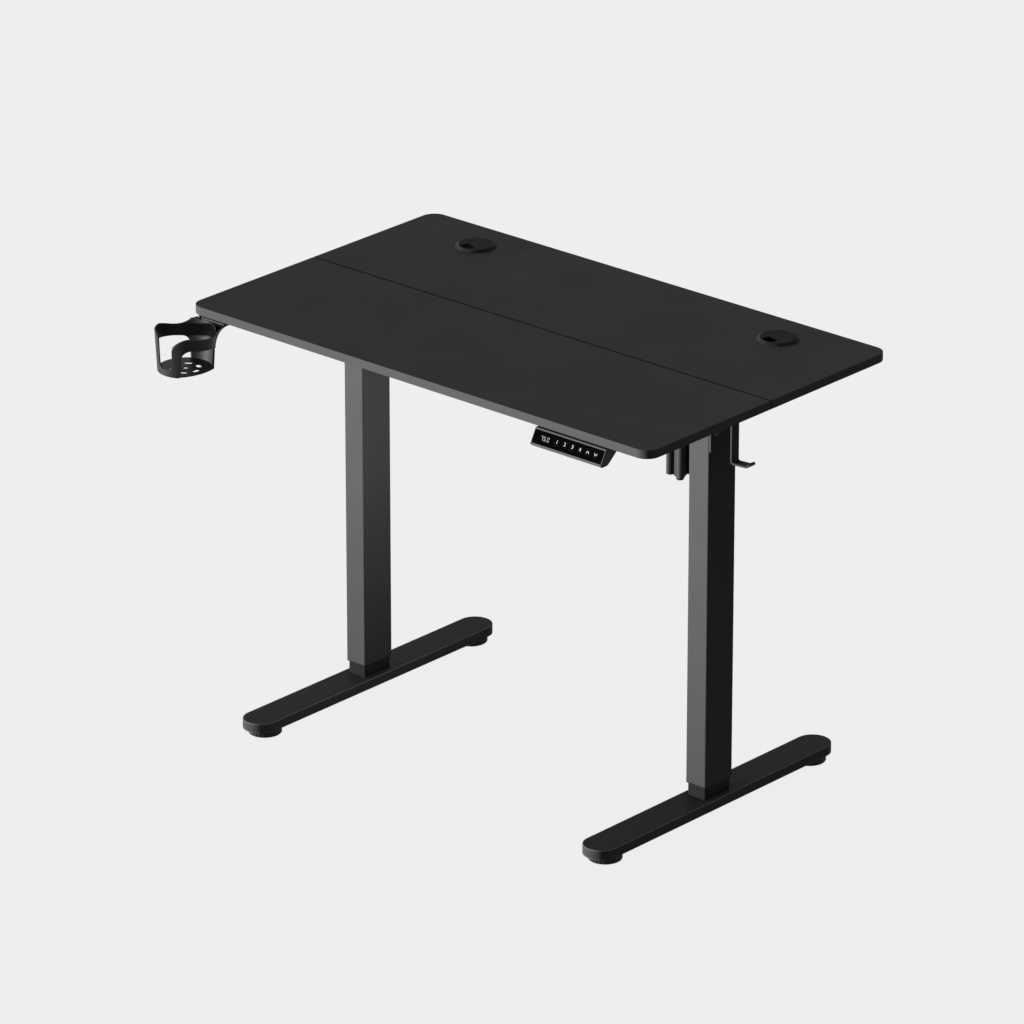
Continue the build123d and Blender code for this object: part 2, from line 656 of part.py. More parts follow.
def drive_shaft():
    reach = COLUMN_X - SHAFT_END
    return Pos(0, 0, SHAFT_Z) * hex_x(HEX_FLATS, -reach, reach)


# Brackets, rails and their bolts


def side_bracket():
    """Channel over the column's head, with a tongue down the column's outer face."""
    inside = TUBE_FACE
    outside = TUBE_FACE + BRACKET_THICKNESS
    section = polygon([
        (-outside, UNDERSIDE),
        (outside, UNDERSIDE),
        (outside, FLANGE_BOTTOM),
        (inside, FLANGE_BOTTOM),
        (inside, HEAD_TOP),
        (-inside, HEAD_TOP),
        (-inside, FLANGE_BOTTOM),
        (-outside, FLANGE_BOTTOM),
    ])
    channel = extrude(Plane.XZ * section, BRACKET_LENGTH / 2, both=True)
    channel = fillet(channel.edges().filter_by(Axis.Y).group_by(Axis.Z)[-1], BRACKET_THICKNESS - RUNNING)
    channel = chamfer(channel.edges().filter_by(Axis.X).group_by(Axis.Z)[0], BRACKET_END_CUT)
    plate = Pos(inside, 0, FLANGE_BOTTOM) * Box(
        BRACKET_THICKNESS,
        OUTER_TUBE_Y,
        TONGUE_DROP - BRACKET_FLANGE,
        align=(Align.MIN, Align.CENTER, Align.MAX),
    )
    plate = fillet(plate.edges().filter_by(Axis.X).group_by(Axis.Z)[0], TONGUE_ROUND)
    bracket = channel + plate
    for y, z in TONGUE_BOLT_PLACES:
        bracket -= Pos(0, y, z) * bolt_hole_x(0, OUTER_TUBE_X, BOLT_ROOM)
    for side in (-1, 1):
        bracket -= Pos(0, side * RAIL_OFFSET, RAIL_BOLT_Z) * bolt_hole_x(-OUTER_TUBE_X, 0, BOLT_ROOM)
    for y in BRACKET_SCREW_Y:
        hole = rod(SCREW_SHANK_DIAMETER + 2 * BOLT_ROOM, HEAD_TOP - CUT, UNDERSIDE + CUT)
        bracket -= Pos(0, y, 0) * hole
    return Pos(COLUMN_X, 0, 0) * bracket


def rail(side):
    """Square tube between the brackets, with a threaded plug welded into each end."""
    reach = COLUMN_X - TUBE_FACE - BRACKET_THICKNESS
    tube = Box(2 * reach, RAIL_WIDTH, BRACKET_FLANGE)
    tube = fillet(tube.edges().filter_by(Axis.X), TUBE_WALL)
    tube -= Box(2 * (reach - RAIL_PLUG), RAIL_WIDTH - 2 * TUBE_WALL, BRACKET_FLANGE - 2 * TUBE_WALL)
    for end in (-1, 1):
        hole = bar_x(BOLT_DIAMETER + 2 * RUNNING, -RAIL_PLUG - CUT, RAIL_PLUG + CUT)
        tube -= Pos(end * reach, 0, 0) * hole
    return Pos(0, side * RAIL_OFFSET, RAIL_BOLT_Z) * tube


def frame_bolt():
    """Button-head bolt that points along -X, with its head's bearing face at x = 0."""
    head = bar_x(BOLT_HEAD_DIAMETER, 0, BOLT_HEAD_HEIGHT)
    head = fillet(head.edges().group_by(Axis.X)[-1], BOLT_HEAD_HEIGHT / 2)
    head -= hex_x(BOLT_SOCKET, BOLT_HEAD_HEIGHT - BOLT_SOCKET_DEPTH, BOLT_HEAD_HEIGHT + CUT)
    return head + bar_x(BOLT_DIAMETER, -BOLT_LENGTH, 0)


def frame_bolts():
    """Bolts of both brackets, of the rails and of the gearbox."""
    outside = COLUMN_X + TUBE_FACE + BRACKET_THICKNESS
    right = [Pos(outside, y, z) * frame_bolt() for y, z in TONGUE_BOLT_PLACES]
    right += [Pos(COLUMN_X - TUBE_FACE, side * RAIL_OFFSET, RAIL_BOLT_Z) * frame_bolt() for side in (-1, 1)]
    left = [mirror(bolt, Plane.YZ) for bolt in right]
    seat = COLUMN_X - TUBE_FACE - GEARBOX_FLANGE
    gearbox = [Pos(seat, y, z) * Rot(0, 180, 0) * frame_bolt() for y, z in GEARBOX_BOLT_PLACES]
    return group(right + left + gearbox)


# Motor and gearbox


def gearbox():
    """Rounded housing over the motor, bolted to the right column, with a bore for the output hub."""
    middle = GEARBOX_DEPTH / 2 - GEARBOX_FRONT
    section = RectangleRounded(GEARBOX_DEPTH, GEARBOX_HEIGHT, GEARBOX_CORNER)
    body = extrude(Plane.YZ * Pos(middle, 0) * section, GEARBOX_LENGTH / 2, both=True)
    rims = body.edges().group_by(Axis.X)
    body = fillet(rims[0] + rims[-1], GEARBOX_EDGE)
    column_face = MOTOR_FROM_COLUMN - TUBE_FACE
    body += bar_x(HUB_DIAMETER + 2 * GEARBOX_NECK, 0, column_face)
    bolt_y = max(y for y, z in GEARBOX_BOLT_PLACES)
    flange_depth = bolt_y + BOLT_HEAD_DIAMETER
    flange = Pos(column_face, -HUB_DIAMETER, 0) * Box(
        GEARBOX_FLANGE,
        HUB_DIAMETER + min(flange_depth, OUTER_TUBE_Y / 2 - BORE_CORNER),
        GEARBOX_FLANGE_HEIGHT,
        align=(Align.MAX, Align.MIN, Align.CENTER),
    )
    body += Pos(0, 0, -GEARBOX_NECK / 2) * flange
    neck_top = -GEARBOX_HEIGHT / 2
    neck = rod(MOTOR_NECK_DIAMETER, neck_top - GEARBOX_NECK, neck_top + GEARBOX_CORNER)
    body += Pos(0, -MOTOR_FORWARD, 0) * neck
    body -= bar_x(HUB_DIAMETER + 2 * RUNNING, -GEARBOX_LENGTH, GEARBOX_LENGTH)
    for y, z in GEARBOX_BOLT_PLACES:
        body -= Pos(column_face, y, z - SHAFT_Z) * bolt_hole_x(-2 * GEARBOX_FLANGE, CUT, BOLT_ROOM)
    return Pos(MOTOR_X, 0, SHAFT_Z) * body


def output_hub():
    """Sleeve of the gearbox that turns the hexagonal shaft."""
    hub = bar_x(HUB_DIAMETER, -HUB_LENGTH / 2, HUB_LENGTH / 2) - hex_x(HEX_FLATS, -HUB_LENGTH, HUB_LENGTH)
    return Pos(MOTOR_X, 0, SHAFT_Z) * hub


def motor():
    """Motor housing with four screw lobes and a bearing boss under it."""
    section = RectangleRounded(MOTOR_CORE, MOTOR_CORE, MOTOR_LOBE_RADIUS)
    for x in (-1, 1):
        for y in (-1, 1):
            section += Pos(x * MOTOR_LOBE_OFFSET, y * MOTOR_LOBE_OFFSET) * Circle(MOTOR_LOBE_RADIUS)
    case = extrude(section, -MOTOR_LENGTH)
    case = fillet(case.edges().group_by(Axis.Z)[0], CUT)
    boss = MOTOR_BOSS_DIAMETER / 2
    shoulder = boss + MOTOR_SHOULDER
    bottom = -MOTOR_LENGTH - MOTOR_BOSS_DROP
    outline = Polyline(
        (boss, -MOTOR_LENGTH - MOTOR_SHOULDER),
        (boss, bottom + CUT),
        (boss - CUT, bottom),
        (0, bottom),
        (0, -MOTOR_LENGTH + CUT),
        (shoulder, -MOTOR_LENGTH + CUT),
        (shoulder, -MOTOR_LENGTH),
    )
    curve = RadiusArc((shoulder, -MOTOR_LENGTH), (boss, -MOTOR_LENGTH - MOTOR_SHOULDER), MOTOR_SHOULDER)
    case += revolve(Plane.XZ * make_face([outline, curve]), Axis.Z)
    top = SHAFT_Z - GEARBOX_HEIGHT / 2 - GEARBOX_NECK
    return Pos(MOTOR_X, -MOTOR_FORWARD, top) * case


# Control box, drawn about its own middle


def box_shell(bottom, top, open_up):
    """Half of the box: a rounded tray that is open towards the other half."""
    tray = prism(BOX_WIDTH, BOX_DEPTH, bottom, top, BOX_CORNER)
    room_bottom = bottom + BOX_WALL if open_up else bottom - CUT
    room_top = top + CUT if open_up else top - BOX_WALL
    room_x = BOX_WIDTH - 2 * BOX_WALL
    room_y = BOX_DEPTH - 2 * BOX_WALL
    return tray - prism(room_x, room_y, room_bottom, room_top, BOX_CORNER - BOX_WALL)


def control_box_base():
    """Half against the tabletop, with a screw ear at each end."""
    base = box_shell(BOX_SPLIT, UNDERSIDE, False)
    for side in (-1, 1):
        tab = Pos(side * (BOX_WIDTH + EAR_LENGTH - BOX_WALL) / 2, 0, UNDERSIDE - EAR_THICKNESS / 2)
        ear = Box(EAR_LENGTH + BOX_WALL, EAR_WIDTH, EAR_THICKNESS)
        base += tab * fillet(ear.edges().filter_by(Axis.Z), BOX_CORNER / 4)
        hole = rod(SCREW_SHANK_DIAMETER + 2 * BOLT_ROOM, UNDERSIDE - EAR_THICKNESS - CUT, UNDERSIDE + CUT)
        base -= Pos(side * (BOX_WIDTH + EAR_LENGTH) / 2, 0, 0) * hole
    return Pos(BOX_X, BOX_Y, 0) * base


def circuit_post_places():
    reach_x = CIRCUIT_LENGTH / 2 - POST_DIAMETER
    reach_y = BOX_DEPTH / 2 - BOX_WALL - 2 * POST_DIAMETER
    return [(x * reach_x, y * reach_y) for x in (-1, 1) for y in (-1, 1)]


def circuit_middle():
    """The circuit board lies towards the box's end that has no ports."""
    return (CIRCUIT_LENGTH - BOX_WIDTH) / 2 + BOX_WALL + CUT


def control_box_cover():
    """Lower half, with three ports in its right end and posts under the circuit board."""
    cover = box_shell(BOX_BOTTOM, BOX_SPLIT, True)
    end = BOX_WIDTH / 2
    level = BOX_BOTTOM + BOX_COVER_HEIGHT / 2
    for width, y in zip(PORT_WIDTHS, PORT_PLACES):
        face = Pos(end, y, level)
        cover += face * Box(
            PORT_DEPTH + BOX_WALL,
            width + 2 * BOX_WALL,
            PORT_HEIGHT + 2 * BOX_WALL,
            align=(Align.MAX, Align.CENTER, Align.CENTER),
        )
        socket = Box(2 * PORT_DEPTH, width, PORT_HEIGHT)
        cover -= face * socket
    floor = BOX_BOTTOM + BOX_WALL
    for x, y in circuit_post_places():
        cover += Pos(circuit_middle() + x, y, 0) * rod(POST_DIAMETER, floor - CUT, floor + CIRCUIT_POST)
    return Pos(BOX_X, BOX_Y, 0) * cover


def control_circuit():
    """Circuit board on its posts, with its transformer and capacitor."""
    bottom = BOX_BOTTOM + BOX_WALL + CIRCUIT_POST
    depth = BOX_DEPTH - 2 * BOX_WALL - 2 * CUT
    top = bottom + CIRCUIT_THICKNESS
    card = prism(CIRCUIT_LENGTH, depth, bottom, top, BOX_CORNER - BOX_WALL)
    room = UNDERSIDE - BOX_WALL - top - CUT
    card += Pos(-CIRCUIT_LENGTH / 5, 0, top) * Box(CIRCUIT_LENGTH / 4, depth / 3, room, align=UP)
    card += Pos(CIRCUIT_LENGTH / 5, depth / 5, top) * Cylinder(depth / 10, room, align=UP)
    return Pos(BOX_X + circuit_middle(), BOX_Y, 0) * card


# Handset under the front edge

FACE_TOP_Y = FRONT_EDGE - HANDSET_LIP
FACE_TOP_Z = UNDERSIDE - HANDSET_LIP_DROP
FACE_LENGTH = math.hypot(FACE_RUN, FACE_DROP)
FACE_NORMAL = (0, -FACE_DROP / FACE_LENGTH, FACE_RUN / FACE_LENGTH)
HANDSET_LEFT = HANDSET_X - HANDSET_WIDTH / 2
PANEL_WIDTH = HANDSET_WIDTH - 2 * PANEL_EDGE
PANEL_HEIGHT = FACE_LENGTH - PANEL_TOP_LIP - PANEL_LIP
PANEL_RISE = (PANEL_LIP - PANEL_TOP_LIP) / 2


def face_plane(x, rise):
    """Plane of the sloping face: local X is along the desk, local Y up the slope from its mid height."""
    up = (rise / FACE_LENGTH) - 0.5
    middle = (x, FACE_TOP_Y + FACE_RUN * up, FACE_TOP_Z + FACE_DROP * up)
    return Plane(middle, x_dir=(1, 0, 0), z_dir=FACE_NORMAL)


def sunk(width, height, front, depth):
    """Block behind the sloping face, from one depth below it to another."""
    behind = (Align.CENTER, Align.CENTER, Align.MAX)
    return Pos(0, 0, -front) * Box(width, height, depth - front, align=behind)


def key_places():
    return [HANDSET_LEFT + KEY_FIRST + n * KEY_PITCH for n in range(KEY_COUNT)]


def handset_housing():
    """Wedge with a rounded belly, a seat for the panel and a pocket behind it."""
    toe_y = FACE_TOP_Y - FACE_RUN
    bottom = UNDERSIDE - HANDSET_HEIGHT
    gap_top = UNDERSIDE - HANDSET_SHADOW_GAP
    gap_back = FRONT_EDGE + HANDSET_SHADOW_DEPTH
    section = polygon([
        (FRONT_EDGE + HANDSET_BACK, UNDERSIDE),
        (gap_back, UNDERSIDE),
        (gap_back, gap_top),
        (FACE_TOP_Y + HANDSET_SHADOW_GAP / 2, gap_top),
        (FACE_TOP_Y, FACE_TOP_Z),
        (toe_y, FACE_TOP_Z - FACE_DROP),
        (toe_y + TOE_RUN, bottom),
        (FRONT_EDGE, bottom),
    ])
    belly = section.vertices().sort_by_distance((FRONT_EDGE, bottom, 0))[0]
    section = fillet(belly, BELLY_ROUND)
    body = extrude(Plane.YZ * section, HANDSET_WIDTH / 2, both=True)
    seat = sunk(PANEL_WIDTH + 2 * SLIDING, PANEL_HEIGHT + 2 * SLIDING, -CUT, PANEL_THICKNESS)
    body -= face_plane(0, PANEL_RISE) * seat
    pocket = sunk(PANEL_WIDTH - 2 * POCKET_EDGE, POCKET_HEIGHT, 0, PANEL_THICKNESS + POCKET_DEPTH)
    body -= face_plane(0, KEY_RISE) * pocket
    for x in HANDSET_SCREW_X:
        seat_z = UNDERSIDE - HANDSET_SEAT
        bore = rod(SCREW_SHANK_DIAMETER + 2 * BOLT_ROOM, seat_z - CUT, UNDERSIDE + CUT)
        bore += rod(SCREW_HEAD_DIAMETER + 2 * BOLT_ROOM, seat_z - HANDSET_BACK, seat_z)
        body -= Pos(x, HANDSET_SCREW_Y, 0) * bore
    return Pos(HANDSET_X, 0, 0) * body


def handset_panel():
    """Glossy front plate with a window for each key."""
    plate = face_plane(HANDSET_X, PANEL_RISE) * sunk(PANEL_WIDTH, PANEL_HEIGHT, 0, PANEL_THICKNESS)
    window = KEY_SIZE + 2 * KEY_GAP
    for x in key_places():
        plate -= face_plane(x, KEY_RISE) * sunk(window, window, -CUT, PANEL_THICKNESS + CUT)
    return plate


def handset_key(x):
    """Flush square key with a rim that keeps it behind the panel."""
    rim_front = PANEL_THICKNESS + KEY_GAP
    cap = sunk(KEY_SIZE, KEY_SIZE, 0, rim_front)
    cap = fillet(cap.edges().group_by(Axis.Z)[-1], KEY_GAP)
    rim = sunk(KEY_SIZE + 2 * KEY_RIM, KEY_SIZE + 2 * KEY_RIM, rim_front, rim_front + KEY_RIM)
    return face_plane(x, KEY_RISE) * (cap + rim)


def handset_display():
    """Display block against the panel's back."""
    block = sunk(DISPLAY_WIDTH, DISPLAY_HEIGHT, PANEL_THICKNESS, PANEL_THICKNESS + DISPLAY_DEPTH)
    return face_plane(HANDSET_LEFT + DISPLAY_X, KEY_RISE) * block


# Hook under the right end


def hook():
    """Flat strip bent from a screw tab to a strap, an arm and a raised tip."""
    tab_z = UNDERSIDE - HOOK_THICKNESS / 2
    arm_z = UNDERSIDE - HOOK_DROP
    arm_x = HOOK_X + HOOK_ARM
    path = FilletPolyline(
        (HOOK_X - HOOK_TAB, tab_z),
        (HOOK_X, tab_z),
        (HOOK_X, arm_z),
        (arm_x, arm_z + HOOK_ARM_RISE),
        (arm_x + HOOK_TIP, arm_z + HOOK_ARM_RISE + HOOK_TIP_RISE),
        radius=HOOK_BEND,
    )
    strip = extrude(Plane.XZ * trace(path, HOOK_THICKNESS), HOOK_WIDTH / 2, both=True)
    tip = strip.faces().sort_by_distance((arm_x + HOOK_TIP, 0, arm_z + HOOK_ARM_RISE + HOOK_TIP_RISE))[0]
    strip = fillet(tip.edges().sort_by(SortBy.LENGTH)[:2], HOOK_TIP_ROUND)
    hole = rod(SCREW_SHANK_DIAMETER + 2 * BOLT_ROOM, UNDERSIDE - 2 * HOOK_THICKNESS, UNDERSIDE + CUT)
    for x in HOOK_SCREW_X:
        strip -= Pos(HOOK_X - HOOK_TAB + x, 0, 0) * hole
    return Pos(0, HOOK_Y, 0) * strip


# Cup holder, drawn about its own axis with its base at z = 0

# Directions round the cup in degrees from +X
CUP_FRONT = -18.0
CUP_GAP = -92.0
CUP_REAR = 166.0
CUP_TOP = CUP_HEIGHT + CUP_RIM_DROP
CUP_RIM_RADIUS = CUP_RIM_DIAMETER / 2
CUP_BASE_RADIUS = CUP_BASE_DIAMETER / 2


def cup_wedge(direction, outline):
    """Block through the wall on one side, from an outline across it and up it."""
    turn = math.radians(direction)
    across = (-math.sin(turn), math.cos(turn), 0)
    outward = (math.cos(turn), math.sin(turn), 0)
    return extrude(Plane((0, 0, 0), x_dir=across, z_dir=outward) * outline, CUP_RIM_DIAMETER)


def cup_radius(height):
    """Outer radius of the tapered wall at a height."""
    return CUP_BASE_RADIUS + (CUP_RIM_RADIUS - CUP_BASE_RADIUS) * height / CUP_HEIGHT


def cup_body(top):
    """Tapered round wall up to a height, with its floor."""
    section = polygon([
        (0, 0),
        (CUP_BASE_RADIUS, 0),
        (cup_radius(top), top),
        (cup_radius(top) - CUP_WALL, top),
        (CUP_BASE_RADIUS - CUP_WALL, CUP_FLOOR),
        (0, CUP_FLOOR),
    ])
    return revolve(Plane.XZ * section, Axis.Z)


def cup_room():
    """Space that the cup stands in."""
    section = polygon([
        (0, CUP_FLOOR),
        (CUP_BASE_RADIUS - CUP_WALL, CUP_FLOOR),
        (cup_radius(CUP_TOP) - CUP_WALL, CUP_TOP),
        (0, CUP_TOP),
    ])
    return revolve(Plane.XZ * section, Axis.Z)


def cup_neck():
    """Neck that flares from the back of the wall to the screw flange."""
    top = CUP_TOP - CUP_FLANGE_THICKNESS
    left = -CUP_FLANGE_LEFT
    right = CUP_FLANGE_RIGHT
    half = CUP_NECK_WIDTH / 2
    foot_z = top - CUP_NECK_DROP
    sides = Polyline((right, top), (left, top), (-half, foot_z), (half, foot_z))
    flare = SagittaArc((half, foot_z), (right, top), CUP_NECK_HOLLOW)
    neck = extrude(Plane.XZ * make_face([sides, flare]), CUP_NECK_DEPTH)
    plate = Box(
        right - left,
        CUP_FLANGE_BACK + CUP_WALL,
        CUP_FLANGE_THICKNESS,
        align=(Align.MIN, Align.MIN, Align.MIN),
    )
    plate = fillet(plate.edges().filter_by(Axis.Z), CUP_FLANGE_THICKNESS)
    neck = Pos(0, CUP_REACH + CUP_WALL, 0) * neck
    return neck + Pos(left, CUP_REACH - CUP_WALL, top) * plate


def cup_ear():
    """Part of the wall that rises to the neck's left side."""
    half = CUP_EAR_WIDTH / 2
    outline = polygon([
        (-half, CUP_HEIGHT / 2),
        (half, CUP_HEIGHT / 2),
        (half, CUP_HEIGHT - CUP_RIM_DROP / 2),
        (CUP_WALL - half, CUP_TOP),
        (-half, CUP_TOP),
    ])
    return cup_body(CUP_TOP) & cup_wedge(CUP_EAR_DIRECTION, outline)


def cup_handle_gap():
    """Slot from the rim almost to the base, for a mug's handle, with a rounded shoulder on its left."""
    edge = 0.5 - CUP_GAP_WIDTH / 2
    gap = Pos(edge, 11.5) * Rectangle(CUP_GAP_WIDTH, CUP_TOP, align=(Align.MIN, Align.MIN))
    gap = fillet(gap.vertices().group_by(Axis.Y)[0], 11.0)
    corner = Pos(edge, CUP_HEIGHT) * Rectangle(2 * CUP_SHOULDER, 2 * CUP_SHOULDER)
    gap += corner - Pos(edge - CUP_SHOULDER, CUP_HEIGHT - CUP_SHOULDER) * Circle(CUP_SHOULDER)
    return cup_wedge(CUP_GAP, gap)


def cup_low_front():
    """Room over the front band, which starts as an arch from the front post."""
    foot = (-40.5, 44.0)
    crown = (-18.0, 69.0)
    high = CUP_TOP + CUT
    band = Polyline(crown, (40.0, 60.0), (43.0, 60.0), (43.0, high), (-49.0, high), (-49.0, 40.0), foot)
    return cup_wedge(CUP_FRONT, make_face([band, RadiusArc(foot, crown, 26.0)]))


def cup_front_window():
    """Window under the front band, open down to the base."""
    foot = (-28.5, 33.5)
    crown = (-14.5, 48.0)
    posts = Polyline(crown, (43.0, 41.0), (43.0, CUP_FLOOR), (-28.5, CUP_FLOOR), foot)
    return cup_wedge(CUP_FRONT, make_face([posts, RadiusArc(foot, crown, 14.0)]))


def cup_front_floor():
    """Edge of the floor under the front window, flatter than the round wall."""
    left = (22.0, -38.0)
    right = (33.0, 37.0)
    edge = ThreePointArc(left, (36.5, -4.0), right)
    outside = Polyline(right, (48.0, 52.0), (75.0, 52.0), (75.0, -60.0), (33.0, -57.0), left)
    return Pos(0, 0, -CUT) * extrude(make_face([edge, outside]), CUP_FLOOR + 2 * CUT)


def cup_rear_window():
    """Window under the rear band."""
    foot = (-31.5, 29.0)
    crown = (-20.0, 41.0)
    posts = Polyline(crown, (5.0, 44.0), (33.0, 48.0), (33.0, CUP_FLOOR), (-31.5, CUP_FLOOR), foot)
    return cup_wedge(CUP_REAR, make_face([posts, RadiusArc(foot, crown, 12.0)]))


def cup_dip():
    """Low part of the rim over the rear band."""
    left = (-33.5, CUP_HEIGHT - CUP_RIM_DROP / 2)
    right = (41.0, CUP_HEIGHT)
    high = CUP_TOP + CUT
    dip = Spline(left, (-22.0, 62.5), (5.0, 65.5), right)
    top = Polyline(right, (right[0], high), (left[0], high), left)
    return cup_wedge(CUP_REAR, make_face([dip, top]))


def cup_holder():
    """One moulding: slotted floor, posts, two bands, the handle gap and the screw flange."""
    holder = cup_body(CUP_HEIGHT) + cup_ear()
    holder -= cup_handle_gap()
    holder -= cup_low_front()
    holder -= cup_front_window()
    holder -= cup_front_floor()
    holder -= cup_rear_window()
    holder -= cup_dip()
    holder += cup_neck() - cup_room()
    slot = Rot(0, 0, 90) * extrude(SlotOverall(CUP_SLOT_LENGTH, CUP_SLOT_WIDTH), CUP_FLOOR)
    for place in PolarLocations(CUP_SLOT_RADIUS, CUP_SLOTS, start_angle=CUP_SLOT_FIRST):
        holder -= place * slot
    holder -= rod(CUP_DRAIN, -CUT, CUP_FLOOR + CUT)
    for x in CUP_SCREW_X:
        hole = rod(SCREW_SHANK_DIAMETER + 2 * BOLT_ROOM, CUP_HEIGHT / 2, 2 * CUP_HEIGHT)
        holder -= Pos(x, CUP_REACH + CUP_SCREW_BACK, 0) * hole
    return Pos(CUP_X, CUP_Y, CUP_BASE) * holder


# The whole desk


def side_parts():
    """Pieces of the right column and foot, which the left side mirrors."""
    return {
        "foot": foot(),
        "foot_bolts": foot_bolts(),
        "front_leveller": leveller(-1),
        "rear_leveller": leveller(1),
        "inner_tube": inner_tube(),
        "upper_glide": upper_glide(),
        "lead_nut": lead_nut(),
        "outer_tube": outer_tube(),
        "lower_glide": lower_glide(),
        "gear_head": gear_head(),
        "screw_bearing": screw_bearing(),
        "lead_screw": lead_screw(),
        "screw_gear": screw_gear(),
        "shaft_gear": shaft_gear(),
        "side_bracket": side_bracket(),
    }


def desk_parts():
    """Every node of the desk by name."""
    parts = {}
    for name, piece in side_parts().items():
        parts["right_" + name] = piece
        parts["left_" + name] = mirror(piece, Plane.YZ)
    parts["front_board"] = front_board()
    parts["rear_board"] = rear_board()
    parts["seam_dowels"] = seam_dowels()
    parts["tabletop_screws"] = wood_screws(wood_screw_places())
    parts["accessory_screws"] = wood_screws(accessory_screw_places())
    for name, side in (("left", -1), ("right", 1)):
        place = Pos(side * GROMMET_X, GROMMET_Y, TOP_HEIGHT)
        parts[name + "_grommet_ring"] = place * grommet_ring()
        parts[name + "_grommet_cap"] = place * grommet_cap()
    parts["front_rail"] = rail(-1)
    parts["rear_rail"] = rail(1)
    parts["frame_bolts"] = frame_bolts()
    parts["drive_shaft"] = drive_shaft()
    parts["output_hub"] = output_hub()
    parts["gearbox"] = gearbox()
    parts["motor"] = motor()
    parts["control_box_base"] = control_box_base()
    parts["control_box_cover"] = control_box_cover()
    parts["control_circuit"] = control_circuit()
    parts["handset_housing"] = handset_housing()
    parts["handset_panel"] = handset_panel()
    parts["handset_display"] = handset_display()
    for name, x in zip(("one", "two", "three", "four", "up", "down"), key_places()):
        parts["key_" + name] = handset_key(x)
    parts["hook"] = hook()
    parts["cup_holder"] = cup_holder()
    return parts


def to_origin():
    """Moves the desk so that the origin is on the floor under the middle of its whole box."""
    cup = cup_holder().bounding_box()
    left = min(-TOP_WIDTH / 2, cup.min.X)
    right = max(TOP_WIDTH / 2, HOOK_X + HOOK_ARM + HOOK_TIP + HOOK_THICKNESS)
    front = min(FRONT_EDGE, cup.min.Y)
    back = max(TOP_DEPTH / 2, FOOT_LENGTH / 2)
    return Pos(-(left + right) / 2, -(front + back) / 2, 0)


def main():
    os.makedirs("parts", exist_ok=True)
    shift = to_origin()
    for name, piece in desk_parts().items():
        export_step(shift * piece, os.path.join("parts", name + ".step"))


if __name__ == "__main__":
    main()
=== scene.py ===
import json
import math

import bpy
from mathutils import Matrix, Vector

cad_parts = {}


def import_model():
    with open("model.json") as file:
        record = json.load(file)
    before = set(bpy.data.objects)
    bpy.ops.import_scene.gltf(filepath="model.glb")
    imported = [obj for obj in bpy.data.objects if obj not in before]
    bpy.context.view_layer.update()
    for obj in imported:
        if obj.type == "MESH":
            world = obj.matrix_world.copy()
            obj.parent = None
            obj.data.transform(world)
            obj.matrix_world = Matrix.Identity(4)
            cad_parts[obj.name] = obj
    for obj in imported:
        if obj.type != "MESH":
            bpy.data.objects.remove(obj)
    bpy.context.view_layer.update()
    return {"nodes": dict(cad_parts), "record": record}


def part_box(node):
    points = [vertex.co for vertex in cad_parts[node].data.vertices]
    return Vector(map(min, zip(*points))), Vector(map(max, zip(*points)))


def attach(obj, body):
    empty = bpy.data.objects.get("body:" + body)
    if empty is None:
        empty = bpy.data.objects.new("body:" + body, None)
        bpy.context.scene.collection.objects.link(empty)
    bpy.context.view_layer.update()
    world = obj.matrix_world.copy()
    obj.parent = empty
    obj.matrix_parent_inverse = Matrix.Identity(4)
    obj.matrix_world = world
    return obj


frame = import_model()
nodes = frame["nodes"]

# Camera of the photograph, in metres
PHOTO_PIXELS = 1024
FOCAL_PIXELS = 7303.5
SENSOR = 36.0
CAMERA_PLACE = (7.40822, -8.33777, 4.9971)
CAMERA_RIGHT = (0.74736, 0.66441, 0.0)
CAMERA_DOWN = (0.25147, -0.28287, -0.92561)
CAMERA_AHEAD = (-0.61498, 0.69176, -0.37849)
CAMERA_SIGHT = 100.0

# Levels of the backdrop, the room's light and the floor, and the floor's share of light and shadow
BACKDROP = 0.863
ROOM = 0.22
FLOOR_GLOW = 0.93
FLOOR_SHADE = 0.1
FLOOR_ALBEDO = 0.8
FLOOR_BOUNCE = 0.15
FLOOR_REACH = 22.0

# Low key light from the front left, which the floor's far edge cuts, so that the columns fade downwards:
# its direction in degrees and its spread in radians
KEY_AZIMUTH = 223.0
KEY_ELEVATION = 0.2
KEY_STRENGTH = 12.8
KEY_SPREAD = 0.07

# Soft fill light under the top, on the left column's inner side, with its spread in degrees
FILL_PLACE = (0.24, -0.02, 0.52)
FILL_FROM = (1, 0, 0)
FILL_SIZE = 0.25
FILL_POWER = 0.84
FILL_SPREAD = 100.0

# Grain and mottling of every surface, and the grain's share in the roughness
GRAIN_DETAIL = 3.0
GRAIN_ROUGHNESS = 0.55
GRAIN_DEPTH = 0.00004
GRAIN_SHARE = 0.35
MOTTLE_DETAIL = 5.0
MOTTLE_ROUGHNESS = 0.6

# Softened edges, and lighter paint along them, partly rubbed thin and partly a painted highlight:
# the lightening is full where the softened and the true normal agree by no more than this
EDGE_SAMPLES = 4
FULL_WEAR_AND_HIGHLIGHT = 0.8
WORN_AND_HIGHLIT_GREY = 0.12

# Painted shade: dark band on each board beside the seam, for the shadow in the gap between the boards
SEAM_SHADE_WIDTH = 0.0022
SEAM_SHADE_GREY = 0.006

# Blue of the neutral colours, and the nodes whose coat has a painted highlight along the rim
COOL_TINT = 1.02
FEET = ("left_foot", "right_foot")

# Handset face, as in the model
HANDSET_LIP = 0.004
HANDSET_LIP_DROP = 0.0015
FACE_RUN = 0.0135
FACE_DROP = 0.0245
KEY_RISE = 0.0016
PRINT_LIFT = 0.00006
DISPLAY_FROM_LEFT = 0.0255
DISPLAY_RISE = 0.0005

# Lit figures of the display
DISPLAY_TEXT = "750"
FIGURE_WIDTH = 0.0036
FIGURE_PITCH = 0.0058
FIGURE_HEIGHT = 0.0062
FIGURE_STROKE = 0.0006
POINT_ROOM = 0.0016
LIT_COLOUR = (0.22, 0.23, 0.24)
LIT_GLOW = 0.45

